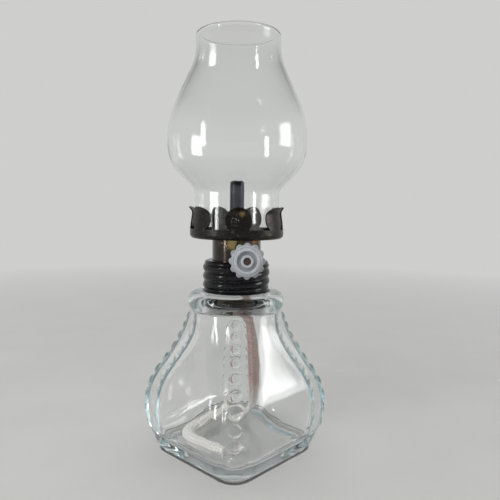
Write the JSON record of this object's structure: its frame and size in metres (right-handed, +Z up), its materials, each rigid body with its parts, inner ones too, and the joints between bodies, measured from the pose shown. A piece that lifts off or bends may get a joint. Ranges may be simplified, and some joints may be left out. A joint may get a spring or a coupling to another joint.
{
  "type": "oil lamp",
  "caption": "Miniature oil lamp: square beaded glass font, black screw cap, petalled gallery, round wick raised by a lobed knob, and a bulbous glass chimney.",
  "frame": {"origin": "on the table under the middle of the lamp's foot", "axes": "+Z up the lamp, -Y towards the knob and a beaded corner of the font, +X to the right of it"},
  "size_m": [0.084, 0.084, 0.19],
  "materials": {
    "font_glass": "clear, smooth",
    "chimney_glass": "clear, smooth",
    "black_enamel": "gloss",
    "blackened_brass": "tarnished, worn",
    "plain_brass": "dull",
    "spindle_steel": "rusty",
    "knob_plastic": "translucent grey",
    "washer_rubber": "matte",
    "cotton": "braided, charred at the top"
  },
  "bodies": {
    "font": {"font_bowl": "font_glass"},
    "washer": {"neck_washer": "washer_rubber"},
    "burner": {"screw_cap": "black_enamel", "burner_drum": "blackened_brass", "drum_floor": "plain_brass", "gallery": "blackened_brass", "wick_tube": "blackened_brass", "ratchet_box": "plain_brass", "spindle_bush": "plain_brass", "wick_tail": "cotton"},
    "knob": {"spindle": "spindle_steel", "star_wheel_front": "plain_brass", "star_wheel_rear": "plain_brass", "wick_knob": "knob_plastic"},
    "wick": {"wick": "cotton"},
    "chimney": {"chimney": "chimney_glass"}
  },
  "joints": [
    {"name": "burner_lift", "type": "slide", "parent": "font", "child": "washer", "axis": [0, 0, 1], "range_m": [0, 0.0081]},
    {"name": "burner_turn", "type": "hinge", "parent": "washer", "child": "burner", "pos_m": [0, 0, 0.0872], "axis": [0, 0, 1], "range_deg": [0, 720], "deforming": ["wick_tail"]},
    {"name": "knob_turn", "type": "hinge", "parent": "burner", "child": "knob", "pos_m": [0.0044, -0.02, 0.0918], "axis": [0, 1, 0], "range_deg": [-78, 208]},
    {"name": "wick_raise", "type": "slide", "parent": "burner", "child": "wick", "axis": [0, 0, 1], "range_m": [-0.003, 0.008], "deforming": ["wick_tail"]},
    {"name": "chimney_lift", "type": "slide", "parent": "burner", "child": "chimney", "axis": [0, 0, 1], "range_m": [0, 0.036]}
  ],
  "couplings": [
    {"joint": "burner_lift", "follows": "burner_turn", "m_per_rad": 0.00063662},
    {"joint": "wick_raise", "follows": "knob_turn", "m_per_rad": 0.0022}
  ]
}
